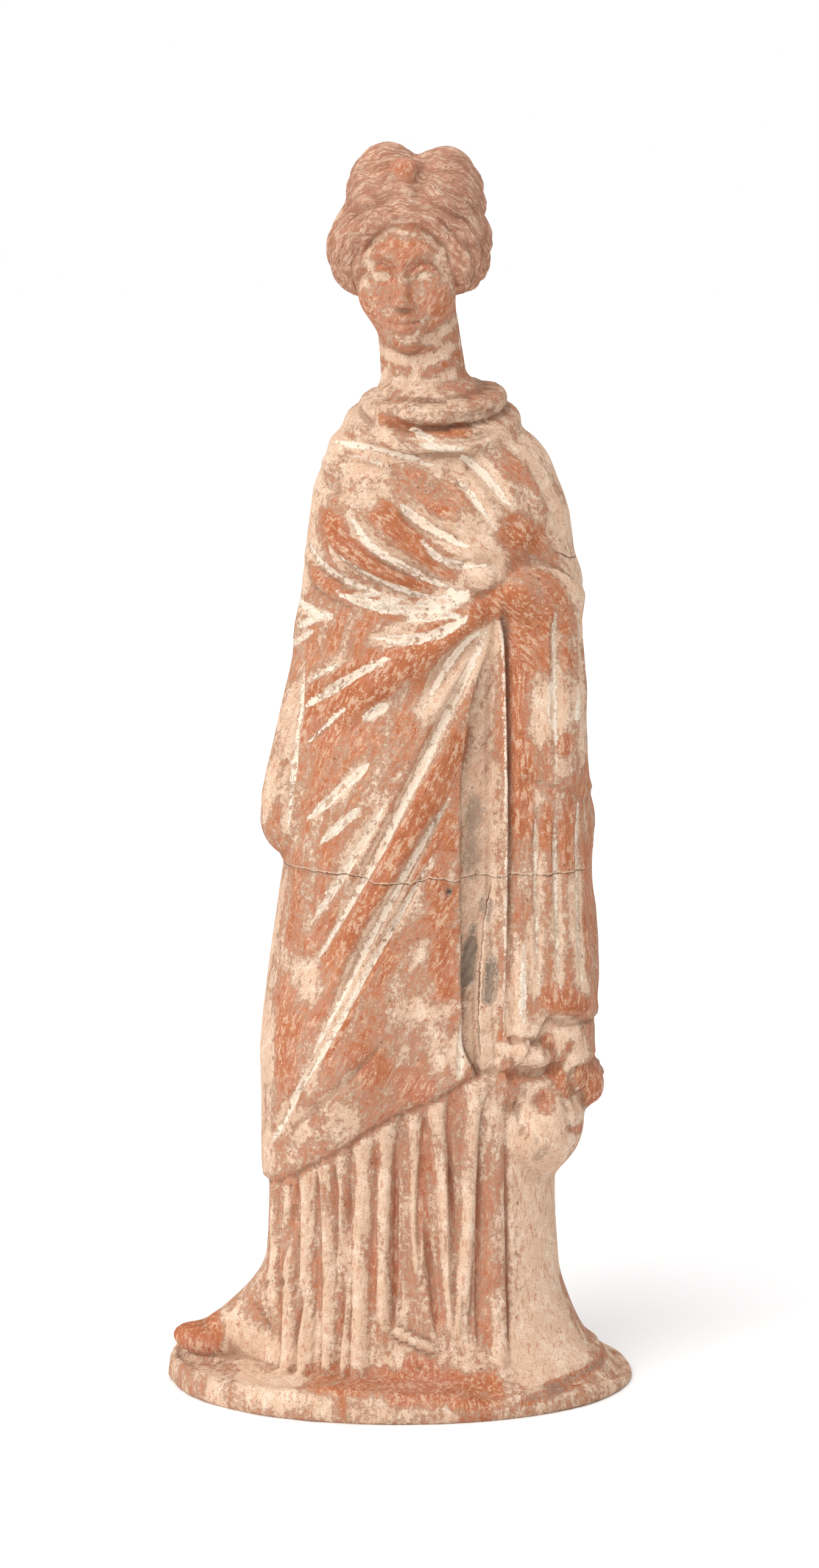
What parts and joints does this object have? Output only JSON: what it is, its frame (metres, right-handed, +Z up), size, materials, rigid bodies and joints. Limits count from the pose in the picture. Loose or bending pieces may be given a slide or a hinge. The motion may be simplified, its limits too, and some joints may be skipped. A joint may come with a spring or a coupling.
{
  "type": "terracotta statuette",
  "caption": "Standing woman wrapped in a cloak over a pleated dress, hair swept up in two masses, on a thin oval base.",
  "frame": {"origin": "middle of the base's flat underside", "axes": "+Z up, the figure faces -Y, +X towards the hanging end of the cloak"},
  "size_m": [0.0874, 0.0686, 0.2301],
  "materials": {
    "terracotta": "matt fired clay, orange-red where bare, with worn pale slip in the folds"
  },
  "bodies": {
    "root": {"draped_woman": "terracotta"}
  },
  "joints": []
}
